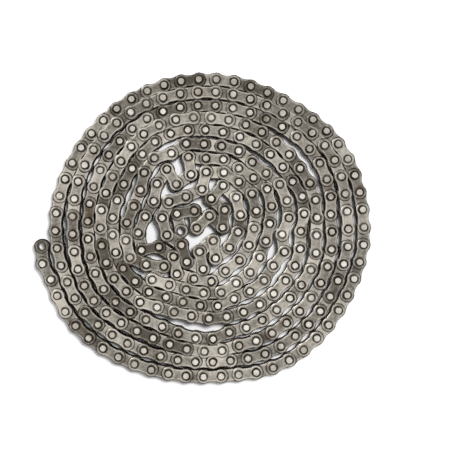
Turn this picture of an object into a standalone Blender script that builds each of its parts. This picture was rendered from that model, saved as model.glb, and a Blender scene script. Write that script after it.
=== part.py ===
"""Ten-foot length of 3/8 inch roller chain, laid on its side in a flat spiral heap.

The pins stand upright and the floor is z = 0. The free outer end is at the left (-X). From
there the chain runs anticlockwise, seen from above, and winds inwards to a folded inner end.
Turns lie low and lifted alternately: a lifted turn rests its lower plates on the inner plates
of its neighbours, which is how the strands can lie closer than their plates are wide.
"""
import math

import bmesh
import bpy
import numpy as np
from mathutils import Vector

MM = 0.001

# Chain sizes in millimetres
PITCH = 9.525
PIN_COUNT = 320
PIN_RADIUS = 1.79
PIN_LENGTH = 11.7
BUSHING_RADIUS = 2.54
BUSHING_BORE = 1.95
PRESS_GAP = 0.3
PLATE = 1.25
INNER_LOBE = 4.2
INNER_WAIST = 3.2
OUTER_LOBE = 3.7
OUTER_WAIST = 2.9

# Heights of the plates above the foot of a pin
LOWER_OUTER = (0.84, 0.84 + PLATE)
LOWER_INNER = (2.21, 2.21 + PLATE)
UPPER_INNER = (8.24, 8.24 + PLATE)
UPPER_OUTER = (9.61, 9.61 + PLATE)

# How the turns lie; LEVEL_SHARE is the share of the lift below which two strands meet edge
# to edge
LIFT = 2.92
LEVEL_SHARE = 0.97
GAP = 0.3

# Pins around which the chain climbs to the lifted layer or comes down again, and over how
# many pins on each side of it
CLIMBS = ((76, 4), (164, 4), (236, 3), (290, 2))
DESCENTS = ((121, 4), (202, 3), (264, 2), (307, 2))

# The points and distances below were read at a scale that makes them this much too large
READING_SCALE = 0.99

# Free outer end: its first pins, as far as the point where the regular turns begin
FREE_END = ((-92.5, -10.0), (-92.5, -19.0), (-86.5, -27.0), (-84.0, -36.5), (-80.0, -44.0))

# Distance of each turn from the middle, read at the twelve clock directions from eight
# o'clock anticlockwise: 8, 7, 6, 5, 4, 3, 2, 1, 12, 11, 10 and 9
TURN_RADII = (
    (92.5, 86.0, 81.5, 81.0, 83.0, 83.0, 84.5, 79.5, 80.5, 83.0, 83.5, 85.5),
    (84.0, 77.0, 74.0, 73.5, 75.0, 74.0, 77.0, 73.5, 74.5, 76.5, 77.0, 75.5),
    (75.5, 68.0, 67.5, 66.0, 67.0, 66.0, 69.0, 67.5, 66.5, 69.0, 68.5, 67.5),
    (67.5, 60.5, 60.5, 57.0, 60.5, 56.0, 58.5, 59.0, 60.5, 63.5, 60.5, 60.5),
    (59.5, 50.5, 48.0, 49.0, 51.0, 50.0, 51.0, 52.0, 54.0, 56.0, 53.5, 54.0),
)
FIRST_CLOCK_ANGLE = 210.0
CLOCK_STEP = 30.0

# The inner end, folded by hand: one point for each pin, from the last regular turn inwards
INNER_FOLDS = (
    (-34.0, -36.5), (-24.5, -38.0), (-15.0, -40.0), (-5.5, -41.5), (4.0, -43.0), (13.5, -40.0),
    (22.0, -35.5), (28.0, -27.5), (32.5, -19.0), (40.0, -13.0), (35.5, -4.5), (41.5, 3.5),
    (40.5, 13.0), (36.0, 22.0), (29.5, 29.0), (22.0, 35.5), (15.0, 42.0), (5.5, 44.5),
    (-4.0, 45.5), (-13.5, 46.0), (-21.5, 40.5), (-31.0, 38.0), (-36.5, 30.0), (-38.5, 20.5),
    (-42.0, 12.0), (-46.0, 3.0), (-46.5, -7.0), (-44.5, -16.0), (-35.0, -19.5), (-26.0, -21.5),
    (-33.0, -28.0), (-23.0, -30.0), (-14.0, -33.5), (-4.0, -35.0), (5.5, -36.5), (14.5, -33.5),
    (20.0, -25.5), (24.5, -16.5), (28.0, -7.5), (31.0, 2.0), (33.5, 11.0), (29.0, 20.0),
    (22.5, 26.5), (14.5, 32.0), (6.0, 36.5), (-4.0, 38.0), (-14.0, 38.5), (-11.0, 29.5),
    (-19.0, 23.5), (-24.5, 32.0), (-29.5, 24.0), (-31.5, 14.5), (-36.0, 6.0), (-39.5, -3.0),
    (-38.0, -12.5), (-28.5, -11.0), (-20.5, -16.5), (-17.5, -25.5), (-8.5, -28.5), (1.0, -29.5),
    (10.5, -26.0), (16.5, -18.0), (21.0, -9.5), (24.5, -0.5), (27.0, 8.5), (22.5, 17.0),
    (15.5, 24.0), (7.5, 29.5), (-2.5, 30.0), (-4.5, 20.5), (-13.5, 17.0), (-23.0, 14.5),
    (-27.0, 5.5), (-23.5, -3.5), (-15.5, -9.0), (-12.0, -18.5), (-3.0, -21.5), (-5.5, -12.5),
    (3.5, -8.0), (5.0, -18.0), (12.5, -11.0), (16.0, -2.0), (19.5, 6.5), (15.5, 15.5),
    (8.0, 22.0), (1.0, 15.0), (9.0, 9.0), (8.0, -0.5), (0.0, 6.0), (-7.5, 0.0), (-7.5, 9.5),
    (-16.5, 7.5), (-15.0, -2.0),
)

# Relaxing of the route
RELAX_ROUNDS = 400
SETTLE_ROUNDS = 250
PITCH_SWEEPS = 5
LAST_SWEEPS = 3000
PULL = 0.05
RELAX_PUSH = 0.25
SETTLE_PUSH = 0.12

# Moves the plates' plan outline, not the pins', to the middle
PLATE_CENTRING = (-0.044, 0.0025)

# Pins at which one run of the coil ends and the next begins, held together by a joining
# link: the solids of the coil are split there
RUN_JOINTS = (21, 55, 83, 129, 171, 209, 243, 269, 295, 311)
FIRST_RUN_PIN = 4

# Outlines of the runs
LINK_END = 3.7
INNER_NECK = 3.3
CORE_WIDTH = 2.4
CORE_WAIST = 1.4
CAP_REACH = 3.6
CAP_WIDTH = 2.3
CORE_CAP_REACH = 2.75
CORE_CAP_WIDTH = 1.3
FOLD_SLACK = 0.94
FOLD_LOBE = 0.8
FLANGED_RUNS = 2
PINNED_RUNS = 2
PIN_SIDES = 5
PIN_SINK = 0.6
PIN_TURN = 0.3
ROUND_SIDES = 12
RIVET_SIDES = 8
LOOSE_POINTS = 7
JOINING_POINTS = 5
LOBE_ANGLE = math.radians(110)
CORE_MARGIN = 0.4
SMALLEST_COSINE = 0.01
SMOOTH_ANGLE = math.radians(46)


def lift_at_pins():
    """Height of each pin's foot above the floor."""
    lift = np.zeros(PIN_COUNT)
    index = np.arange(PIN_COUNT)
    for centre, reach in CLIMBS:
        lift += np.clip((index - centre + reach) / (2 * reach), 0, 1)
    for centre, reach in DESCENTS:
        lift -= np.clip((index - centre + reach) / (2 * reach), 0, 1)
    return lift * LIFT


def rough_route():
    """One rough point for each pin, along the free end, the turns and the inner folds."""
    path = [np.array(point) for point in FREE_END]
    radii = [radius for turn in TURN_RADII for radius in turn]
    radii.append(math.hypot(*INNER_FOLDS[0]) + 2.5)
    for step in range(len(radii) - 1):
        before = radii[max(step - 1, 0)]
        after = radii[min(step + 2, len(radii) - 1)]
        for part in np.arange(0, 1, 0.1):
            start, end = radii[step], radii[step + 1]
            bow = 2 * before - 5 * start + 4 * end - after
            swing = 3 * (start - end) + after - before
            radius = start + 0.5 * part * (end - before + part * (bow + part * swing))
            angle = math.radians(FIRST_CLOCK_ANGLE + CLOCK_STEP * (step + part))
            path.append(np.array((radius * math.cos(angle), radius * math.sin(angle))))
    path.append(np.array(INNER_FOLDS[0]))
    path = np.array(path)
    along = np.concatenate(([0], np.cumsum(np.hypot(*np.diff(path, axis=0).T))))
    stops = np.linspace(0, along[-1], PIN_COUNT - len(INNER_FOLDS) + 1)
    outer = np.column_stack([np.interp(stops, along, path[:, axis]) for axis in (0, 1)])
    return np.vstack((outer[:-1], np.array(INNER_FOLDS))) * READING_SCALE


def even_pitch(pins, sweeps):
    """Brings all neighbours to one pitch, even links first and then odd ones."""
    for _ in range(sweeps):
        for first in (0, 1):
            start = pins[first:-1:2]
            end = pins[first + 1::2][:len(start)]
            span = end - start
            length = np.hypot(span[:, 0], span[:, 1])[:, None]
            shift = span * (0.5 * (length - PITCH) / length)
            pins[first:first + 2 * len(start):2] += shift
            pins[first + 1:first + 1 + 2 * len(start):2] -= shift


def strand_need(reach, other):
    """Distance that a pin keeps from a link, by how far along the link its nearest pin is."""
    beside_pin = (INNER_LOBE + other + GAP) ** 2 - reach ** 2
    beside_waist = other + INNER_WAIST + GAP
    return np.sqrt(np.maximum(beside_pin, beside_waist ** 2))


def part_strands(pins, lift, strength):
    """Pushes each pin away from the links of other strands that it is too close to."""
    start, span = pins[:-1], pins[1:] - pins[:-1]
    away = pins[:, None, :] - start[None, :, :]
    foot = np.clip((away * span[None]).sum(2) / (span ** 2).sum(1)[None], 0, 1)
    away -= foot[..., None] * span[None]
    distance = np.hypot(away[..., 0], away[..., 1])
    link_lift = 0.5 * (lift[:-1] + lift[1:])
    same_layer = np.abs(lift[:, None] - link_lift[None]) < LEVEL_SHARE * LIFT
    reach = np.minimum(foot, 1 - foot) * PITCH
    need = np.where(same_layer, strand_need(reach, INNER_LOBE), strand_need(reach, BUSHING_RADIUS))
    pin, link = np.indices(distance.shape)
    apart = (pin <= link - 2) | (pin >= link + 3)
    pin, link = np.nonzero(apart & (distance < need))
    depth = need[pin, link] - distance[pin, link]
    push = away[pin, link] / distance[pin, link][:, None] * (strength * depth)[:, None]
    part = foot[pin, link][:, None]
    np.add.at(pins, pin, push)
    np.add.at(pins, link, -push * (1 - part))
    np.add.at(pins, link + 1, -push * part)
    return float(depth.max()) if len(depth) else 0.0


def pin_route():
    """The place of every pin: exact pitch, clear of the other strands, close to the route."""
    target = rough_route()
    pins = target.copy()
    lift = lift_at_pins()
    for step in range(RELAX_ROUNDS):
        pull = PULL * (1 - step / RELAX_ROUNDS)
        pins += pull * (target - pins)
        part_strands(pins, lift, RELAX_PUSH)
        even_pitch(pins, PITCH_SWEEPS)
    for _ in range(SETTLE_ROUNDS):
        part_strands(pins, lift, SETTLE_PUSH)
        even_pitch(pins, PITCH_SWEEPS)
    even_pitch(pins, LAST_SWEEPS)
    return pins - (pins.min(0) + pins.max(0)) / 2 + PLATE_CENTRING, lift


def steel(name, colour, roughness):
    """Bare steel with the given colour."""
    material = bpy.data.materials.new(name)
    material.use_nodes = True
    shader = material.node_tree.nodes["Principled BSDF"]
    shader.inputs["Base Color"].default_value = (*colour, 1)
    shader.inputs["Metallic"].default_value = 1.0
    shader.inputs["Roughness"].default_value = roughness
    return material


def make_object(name, mesh_data, material, axis=(0.0, 0.0)):
    """An object from a bmesh in millimetres, with its origin on an upright axis."""
    for vertex in mesh_data.verts:
        vertex.co = (vertex.co - Vector((*axis, 0))) * MM
    mesh = bpy.data.meshes.new(name)
    mesh_data.to_mesh(mesh)
    mesh_data.free()
    mesh.materials.append(material)
    item = bpy.data.objects.new(name, mesh)
    item.location = Vector((*axis, 0)) * MM
    bpy.context.scene.collection.objects.link(item)
    return item


def add_prism(mesh_data, outline, bottom, top):
    """Adds an upright prism over a plan outline given anticlockwise."""
    low = [mesh_data.verts.new((x, y, bottom)) for x, y in outline]
    high = [mesh_data.verts.new((x, y, top)) for x, y in outline]
    mesh_data.faces.new(reversed(low))
    mesh_data.faces.new(high)
    for index in range(len(outline)):
        after = (index + 1) % len(outline)
        mesh_data.faces.new((low[index], low[after], high[after], high[index]))


def shade_round(item):
    """Shades the round walls of a piece smooth and keeps its edges sharp."""
    item.data.shade_smooth()
    item.data.set_sharp_from_angle(angle=SMOOTH_ANGLE)
    return item


def circle(centre, radius, sides, turn=0.0):
    """Points of a regular polygon, anticlockwise."""
    angles = [turn + 2 * math.pi * index / sides for index in range(sides)]
    return [(centre[0] + radius * math.cos(a), centre[1] + radius * math.sin(a)) for a in angles]


def combine(item, tool, operation):
    """Joins a tool object to an item, or cuts it away, and removes the tool."""
    modifier = item.modifiers.new(operation.lower(), "BOOLEAN")
    modifier.operation = operation
    modifier.solver = "EXACT"
    modifier.object = tool
    graph = bpy.context.evaluated_depsgraph_get()
    mesh = bpy.data.meshes.new_from_object(item.evaluated_get(graph))
    item.modifiers.clear()
    item.data = mesh
    bpy.data.objects.remove(tool)


def plate_outline(start, end, lobe, waist, lobe_points):
    """Figure-of-eight outline of a link plate around its two pin centres."""
    start, end = Vector(start), Vector(end)
    along = (end - start).normalized()
    heading = math.atan2(along.y, along.x)
    points = []
    for centre, facing in ((end, heading), (start, heading + math.pi)):
        for index in range(lobe_points):
            angle = facing + LOBE_ANGLE * (2 * index / (lobe_points - 1) - 1)
            points.append((centre.x + lobe * math.cos(angle), centre.y + lobe * math.sin(angle)))
        middle = (start + end) / 2
        side = Vector((-math.sin(facing), math.cos(facing)))
        points.append(tuple(middle + side * waist))
    return points


def link_plate(name, ends, levels, shape, hole, material, axis):
    """One loose plate with its two holes."""
    lobe, waist = shape
    body = bmesh.new()
    add_prism(body, plate_outline(*ends, lobe, waist, LOOSE_POINTS), *levels)
    item = make_object(name, body, material, axis)
    holes = bmesh.new()
    for centre in ends:
        add_prism(holes, circle(centre, hole, ROUND_SIDES), levels[0] - 1, levels[1] + 1)
    combine(item, make_object(name + "_holes", holes, material), "DIFFERENCE")
    return shade_round(item)


def pin_piece(name, centre, material, axis):
    """One pin with its full length."""
    body = bmesh.new()
    add_prism(body, circle(centre, PIN_RADIUS, ROUND_SIDES), 0, PIN_LENGTH)
    return shade_round(make_object(name, body, material, axis))


def bushing_piece(name, centre, material, axis):
    """One bushing, pressed into both inner plates and open for the pin."""
    bottom, top = LOWER_INNER[0], UPPER_INNER[1]
    body = bmesh.new()
    rings = []
    for radius in (BUSHING_RADIUS, BUSHING_BORE):
        for level in (bottom, top):
            rings.append([body.verts.new((x, y, level))
                          for x, y in circle(centre, radius, ROUND_SIDES)])
    outer_low, outer_high, inner_low, inner_high = rings
    for index in range(ROUND_SIDES):
        after = (index + 1) % ROUND_SIDES
        body.faces.new((outer_low[index], outer_low[after], outer_high[after], outer_high[index]))
        body.faces.new((inner_low[after], inner_low[index], inner_high[index], inner_high[after]))
        body.faces.new((outer_high[index], outer_high[after], inner_high[after], inner_high[index]))
        body.faces.new((outer_low[after], outer_low[index], inner_low[index], inner_low[after]))
    return shade_round(make_object(name, body, material, axis))


def loose_inner_link(name, pins, first, axis, materials):
    """An inner link in its four pieces: two plates and two bushings."""
    ends = (tuple(pins[first]), tuple(pins[first + 1]))
    shape = (INNER_LOBE, INNER_WAIST)
    hole = BUSHING_RADIUS + PRESS_GAP
    for side, levels in (("upper", UPPER_INNER), ("lower", LOWER_INNER)):
        link_plate(f"{name}_{side}_plate", ends, levels, shape, hole, materials["inner"], axis)
    for number, centre in enumerate(ends, 1):
        bushing_piece(f"{name}_bushing_{number}", centre, materials["bushing"], axis)


def loose_outer_link(name, pins, first, axis, materials):
    """An outer link in its four pieces: two plates and two pins."""
    ends = (tuple(pins[first]), tuple(pins[first + 1]))
    shape = (OUTER_LOBE, OUTER_WAIST)
    hole = PIN_RADIUS + PRESS_GAP
    for side, levels in (("upper", UPPER_OUTER), ("lower", LOWER_OUTER)):
        link_plate(f"{name}_{side}_plate", ends, levels, shape, hole, materials["outer"], axis)
    for number, centre in enumerate(ends, 1):
        pin_piece(f"{name}_pin_{number}", centre, materials["pin"], axis)


def joining_link(name, pins, lift, first, materials):
    """An outer link between two runs: both plates riveted to both pins, as one solid."""
    ends = (tuple(pins[first]), tuple(pins[first + 1]))
    base = lift[first]
    plates = bmesh.new()
    for levels in (LOWER_OUTER, UPPER_OUTER):
        outline = plate_outline(*ends, OUTER_LOBE, OUTER_WAIST, JOINING_POINTS)
        add_prism(plates, outline, base + levels[0], base + levels[1])
    item = make_object(name, plates, materials["outer"])
    rivets = bmesh.new()
    for centre in ends:
        add_prism(rivets, circle(centre, PIN_RADIUS, RIVET_SIDES), base, base + PIN_LENGTH)
    combine(item, make_object(name + "_pins", rivets, materials["pin"]), "UNION")
    shade_round(item)


def unit(vector):
    """The vector at length one."""
    return vector / np.hypot(*vector)


def side_limit(reach, bend):
    """Half width that a fold leaves on its inner side, at a distance from its pin."""
    return FOLD_SLACK * reach * math.tan((math.pi - abs(bend)) / 2)


def run_stations(pins, lift, first, last):
    """Cross sections along one run: edges of plates and core, lift and kind of top."""
    stations = []
    bends = {}
    for pin in range(first, last + 1):
        before = unit(pins[pin] - pins[pin - 1]) if pin > first else unit(pins[pin + 1] - pins[pin])
        after = unit(pins[pin + 1] - pins[pin]) if pin < last else before
        bend = math.atan2(before[0] * after[1] - before[1] * after[0], float(before @ after))
        bends[pin] = (unit(before + after), bend)

    def add(point, direction, half, limits, height, top, core, end, core_shift=0.0):
        left, right = half, half
        core = min(core, half - CORE_MARGIN)
        for bend, limit in limits:
            if bend > 0:
                left = min(left, limit)
            elif bend < 0:
                right = min(right, limit)
        normal = np.array((-direction[1], direction[0]))
        middle = point + direction * core_shift
        stations.append({"left": point + normal * left, "right": point - normal * right,
                         "core_left": middle + normal * core,
                         "core_right": middle - normal * core,
                         "lift": height, "top": top, "end": end})

    start = unit(pins[first + 1] - pins[first])
    add(pins[first] - start * CAP_REACH, start, CAP_WIDTH, (), lift[first], "low",
        CORE_CAP_WIDTH, True, CAP_REACH - CORE_CAP_REACH)
    for pin in range(first, last + 1):
        direction, bend = bends[pin]
        at_end = pin in (first, last)
        half_fold = max(math.cos((math.pi - abs(bend)) / 2), SMALLEST_COSINE)
        lobe_limit = FOLD_LOBE * LINK_END / half_fold
        add(pins[pin], direction, INNER_LOBE, ((bend, lobe_limit),), lift[pin],
            "low" if at_end else "high", CORE_WIDTH, at_end)
        if pin == last:
            break
        along = unit(pins[pin + 1] - pins[pin])
        next_bend = bends[pin + 1][1]
        if pin % 2:
            reaches = ((PITCH / 2, OUTER_WAIST, "high", False),)
        else:
            near_top = "low" if pin == first else "step"
            far_top = "low" if pin + 1 == last else "step"
            reaches = ((LINK_END, INNER_NECK, near_top, pin == first),
                       (PITCH - LINK_END, INNER_NECK, far_top, pin + 1 == last))
        for reach, half, top, end in reaches:
            share = reach / PITCH
            limits = ((bend, side_limit(reach, bend)),
                      (next_bend, side_limit(PITCH - reach, next_bend)))
            height = lift[pin] + share * (lift[pin + 1] - lift[pin])
            add(pins[pin] + along * reach, along, half, limits, height, top, CORE_WAIST, end)
    finish = unit(pins[last] - pins[last - 1])
    add(pins[last] + finish * CAP_REACH, finish, CAP_WIDTH, (), lift[last], "low",
        CORE_CAP_WIDTH, True, CORE_CAP_REACH - CAP_REACH)
    return stations


def sweep_run(stations, flanged):
    """One run as a closed solid: plates above, a narrow core below, and a lower flange."""
    body = bmesh.new()

    def corner(point, level):
        return body.verts.new((point[0], point[1], level))

    for station in stations:
        base = station["lift"]
        bottom = LOWER_INNER[0] if station["end"] else 0.0
        levels = {"under": UPPER_INNER[0], "low": UPPER_INNER[1], "high": UPPER_OUTER[1],
                  "floor": bottom, "flange": LOWER_INNER[1]}
        wanted = {"under"} | ({"low"} if station["top"] != "high" else set())
        wanted |= {"high"} if station["top"] != "low" else set()
        wanted |= {"floor", "flange"} if flanged else set()
        for side in ("left", "right"):
            for level in wanted:
                station[side, level] = corner(station[side], base + levels[level])
            foot = levels["flange"] if flanged else bottom
            station[side, "core_top"] = corner(station["core_" + side], base + levels["under"])
            station[side, "core_foot"] = corner(station["core_" + side], base + foot)

    def face(side, corners):
        body.faces.new(corners if side == "right" else tuple(reversed(corners)))

    def top_of(station):
        return "low" if station["top"] == "low" else "high"

    for here, there in zip(stations, stations[1:]):
        gap = here["top"] != "high" and there["top"] != "high"
        top = "low" if gap else "high"
        for side in ("left", "right"):
            near = [here[side, "low"]] if here["top"] == "step" and not gap else []
            far = [there[side, "low"]] if there["top"] == "step" and not gap else []
            near_top, far_top = here[side, top], there[side, top]
            face(side, (here[side, "under"], there[side, "under"], *far, far_top, near_top, *near))
            if flanged:
                face(side, (here[side, "floor"], there[side, "floor"],
                            there[side, "flange"], here[side, "flange"]))
        body.faces.new((here["right", top], there["right", top],
                        there["left", top], here["left", top]))
        if flanged:
            body.faces.new((here["left", "floor"], there["left", "floor"],
                            there["right", "floor"], here["right", "floor"]))
    for index, station in enumerate(stations):
        if station["top"] == "step":
            ring = (station["right", "low"], station["right", "high"],
                    station["left", "high"], station["left", "low"])
            falls = stations[index + 1]["top"] != "high"
            body.faces.new(tuple(reversed(ring)) if falls else ring)
    for here, there in zip(stations, stations[1:]):
        for side in ("left", "right"):
            face(side, (here[side, "core_top"], there[side, "core_top"],
                        there[side, "under"], here[side, "under"]))
            face(side, (here[side, "core_foot"], there[side, "core_foot"],
                        there[side, "core_top"], here[side, "core_top"]))
            if flanged:
                face(side, (there[side, "core_foot"], here[side, "core_foot"],
                            here[side, "flange"], there[side, "flange"]))
        if not flanged:
            body.faces.new((here["left", "core_foot"], there["left", "core_foot"],
                            there["right", "core_foot"], here["right", "core_foot"]))
    for station, is_start in ((stations[0], True), (stations[-1], False)):
        downwards = ["low", "under", "core_top", "core_foot"]
        if flanged:
            downwards += ["flange", "floor"]
        for above, below in zip(downwards, downwards[1:]):
            wall = (station["left", above], station["left", below],
                    station["right", below], station["right", above])
            body.faces.new(wall if is_start else tuple(reversed(wall)))
    bmesh.ops.recalc_face_normals(body, faces=body.faces[:])
    bmesh.ops.triangulate(body, faces=body.faces[:])
    return body


def coil_run(number, pins, lift, first, last, materials):
    """One run of fused links, bored at both ends for the pins of its neighbours."""
    name = f"coil_run_{number:02d}"
    stations = run_stations(pins, lift, first, last)
    item = make_object(name, sweep_run(stations, number <= FLANGED_RUNS), materials["inner"])
    bores = bmesh.new()
    for pin in (first, last):
        outline = circle(pins[pin], PIN_RADIUS + PRESS_GAP, ROUND_SIDES)
        add_prism(bores, outline, -1, 2 * PIN_LENGTH)
    combine(item, make_object(name + "_bores", bores, materials["pin"]), "DIFFERENCE")
    if number <= PINNED_RUNS:
        heads = bmesh.new()
        for pin in range(first + 1, last):
            outline = circle(pins[pin], PIN_RADIUS, PIN_SIDES, PIN_TURN * pin)
            base = lift[pin]
            add_prism(heads, outline, base + UPPER_OUTER[1] - PIN_SINK, base + PIN_LENGTH)
        combine(item, make_object(name + "_heads", heads, materials["pin"]), "UNION")
    shade_round(item)


def clear_scene():
    """Removes every object of the open scene."""
    for item in list(bpy.data.objects):
        bpy.data.objects.remove(item)


def build():
    """Makes the free outer end, the runs of the coil and the links that join them."""
    clear_scene()
    materials = {
        "inner": steel("oiled_inner_plate", (0.24, 0.225, 0.20), 0.38),
        "outer": steel("oiled_outer_plate", (0.30, 0.28, 0.25), 0.34),
        "bushing": steel("bushing_steel", (0.20, 0.19, 0.17), 0.40),
        "pin": steel("pin_steel", (0.55, 0.53, 0.50), 0.28),
    }
    pins, lift = pin_route()
    loose_inner_link("end_link", pins, 0, pins[1], materials)
    loose_outer_link("second_link", pins, 1, pins[2], materials)
    loose_inner_link("third_link", pins, 2, pins[3], materials)
    loose_outer_link("anchor_link", pins, 3, (0.0, 0.0), materials)
    firsts = [FIRST_RUN_PIN] + [pin + 1 for pin in RUN_JOINTS]
    lasts = list(RUN_JOINTS) + [PIN_COUNT - 1]
    for number, (first, last) in enumerate(zip(firsts, lasts), 1):
        coil_run(number, pins, lift, first, last, materials)
    for number, first in enumerate(RUN_JOINTS, 1):
        joining_link(f"joining_link_{number}", pins, lift, first, materials)


build()
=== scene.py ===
"""Ten-foot length of 3/8 inch roller chain, laid on its side in a flat spiral heap.

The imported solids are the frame. Plates, pins and bushings of every link are modelled once,
laid along the chain's route and joined run by run, and each run replaces its plain solid.
"""
import math
import random

import bmesh
import bpy
import numpy as np
from bpy.props import FloatProperty, FloatVectorProperty, IntProperty, PointerProperty
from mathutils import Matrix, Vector


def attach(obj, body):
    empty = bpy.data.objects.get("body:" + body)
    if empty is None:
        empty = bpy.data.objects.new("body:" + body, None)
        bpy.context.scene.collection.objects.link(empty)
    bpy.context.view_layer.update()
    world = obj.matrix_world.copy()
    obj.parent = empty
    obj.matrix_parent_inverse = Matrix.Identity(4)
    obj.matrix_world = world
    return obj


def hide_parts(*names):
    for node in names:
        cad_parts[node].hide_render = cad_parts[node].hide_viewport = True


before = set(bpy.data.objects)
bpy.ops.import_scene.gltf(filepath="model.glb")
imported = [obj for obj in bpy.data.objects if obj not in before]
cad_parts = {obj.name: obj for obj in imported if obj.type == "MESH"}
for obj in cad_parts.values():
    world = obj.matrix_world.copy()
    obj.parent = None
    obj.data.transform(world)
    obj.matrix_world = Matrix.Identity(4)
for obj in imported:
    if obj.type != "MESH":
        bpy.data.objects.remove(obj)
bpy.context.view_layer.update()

bl_info = {
    "name": "Coiled Roller Chain",
    "version": (1, 0, 0),
    "blender": (4, 5, 0),
    "location": "View3D > Sidebar > Chain",
    "description": "Dresses a flat spiral heap of roller chain, link by link",
    "category": "Add Mesh",
}

MM = 0.001

# The route of the chain in millimetres, as the solids have it
PITCH = 9.525
PIN_COUNT = 320
INNER_LOBE = 4.2
INNER_WAIST = 3.2
BUSHING_RADIUS = 2.54
LIFT = 2.92
LEVEL_SHARE = 0.97
GAP = 0.3
CLIMBS = ((76, 4), (164, 4), (236, 3), (290, 2))
DESCENTS = ((121, 4), (202, 3), (264, 2), (307, 2))
READING_SCALE = 0.99
FREE_END = ((-92.5, -10.0), (-92.5, -19.0), (-86.5, -27.0), (-84.0, -36.5), (-80.0, -44.0))
TURN_RADII = (
    (92.5, 86.0, 81.5, 81.0, 83.0, 83.0, 84.5, 79.5, 80.5, 83.0, 83.5, 85.5),
    (84.0, 77.0, 74.0, 73.5, 75.0, 74.0, 77.0, 73.5, 74.5, 76.5, 77.0, 75.5),
    (75.5, 68.0, 67.5, 66.0, 67.0, 66.0, 69.0, 67.5, 66.5, 69.0, 68.5, 67.5),
    (67.5, 60.5, 60.5, 57.0, 60.5, 56.0, 58.5, 59.0, 60.5, 63.5, 60.5, 60.5),
    (59.5, 50.5, 48.0, 49.0, 51.0, 50.0, 51.0, 52.0, 54.0, 56.0, 53.5, 54.0),
)
FIRST_CLOCK_ANGLE = 210.0
CLOCK_STEP = 30.0
INNER_FOLDS = (
    (-34.0, -36.5), (-24.5, -38.0), (-15.0, -40.0), (-5.5, -41.5), (4.0, -43.0), (13.5, -40.0),
    (22.0, -35.5), (28.0, -27.5), (32.5, -19.0), (40.0, -13.0), (35.5, -4.5), (41.5, 3.5),
    (40.5, 13.0), (36.0, 22.0), (29.5, 29.0), (22.0, 35.5), (15.0, 42.0), (5.5, 44.5),
    (-4.0, 45.5), (-13.5, 46.0), (-21.5, 40.5), (-31.0, 38.0), (-36.5, 30.0), (-38.5, 20.5),
    (-42.0, 12.0), (-46.0, 3.0), (-46.5, -7.0), (-44.5, -16.0), (-35.0, -19.5), (-26.0, -21.5),
    (-33.0, -28.0), (-23.0, -30.0), (-14.0, -33.5), (-4.0, -35.0), (5.5, -36.5), (14.5, -33.5),
    (20.0, -25.5), (24.5, -16.5), (28.0, -7.5), (31.0, 2.0), (33.5, 11.0), (29.0, 20.0),
    (22.5, 26.5), (14.5, 32.0), (6.0, 36.5), (-4.0, 38.0), (-14.0, 38.5), (-11.0, 29.5),
    (-19.0, 23.5), (-24.5, 32.0), (-29.5, 24.0), (-31.5, 14.5), (-36.0, 6.0), (-39.5, -3.0),
    (-38.0, -12.5), (-28.5, -11.0), (-20.5, -16.5), (-17.5, -25.5), (-8.5, -28.5), (1.0, -29.5),
    (10.5, -26.0), (16.5, -18.0), (21.0, -9.5), (24.5, -0.5), (27.0, 8.5), (22.5, 17.0),
    (15.5, 24.0), (7.5, 29.5), (-2.5, 30.0), (-4.5, 20.5), (-13.5, 17.0), (-23.0, 14.5),
    (-27.0, 5.5), (-23.5, -3.5), (-15.5, -9.0), (-12.0, -18.5), (-3.0, -21.5), (-5.5, -12.5),
    (3.5, -8.0), (5.0, -18.0), (12.5, -11.0), (16.0, -2.0), (19.5, 6.5), (15.5, 15.5),
    (8.0, 22.0), (1.0, 15.0), (9.0, 9.0), (8.0, -0.5), (0.0, 6.0), (-7.5, 0.0), (-7.5, 9.5),
    (-16.5, 7.5), (-15.0, -2.0),
)
RELAX_ROUNDS = 400
SETTLE_ROUNDS = 250
PITCH_SWEEPS = 5
LAST_SWEEPS = 3000
PULL = 0.05
RELAX_PUSH = 0.25
SETTLE_PUSH = 0.12
PLATE_CENTRING = (-0.044, 0.0025)
RUN_JOINTS = (21, 55, 83, 129, 171, 209, 243, 269, 295, 311)
FIRST_RUN_PIN = 4

# Links drawn apart from the runs: number of the first pin and the body each one moves with
LOOSE_LINKS = {"end_link": (0, "end_link"), "second_link": (1, "second_link"),
               "third_link": (2, "third_link"), "anchor_link": (3, "coil")}
COIL_BODY = "coil"
LAST_LINK = PIN_COUNT - 2

# Heights of the plates above the foot of a pin, in metres
LOWER_OUTER_TOP = 2.09 * MM
LOWER_INNER_TOP = 3.46 * MM
UPPER_INNER_FOOT = 8.24 * MM
UPPER_OUTER_FOOT = 9.61 * MM

# Angle between faces from which a plate's edges stay sharp: above the steps between the sides
# of a lobe, and below the slope along its edge
PLATE_SHARP = math.radians(24)

# Names of the map and the colour layer that every link carries
LINK_MAP = "link_map"
LINK_TONE = "link_tone"
TONE_SEED = 35


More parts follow.
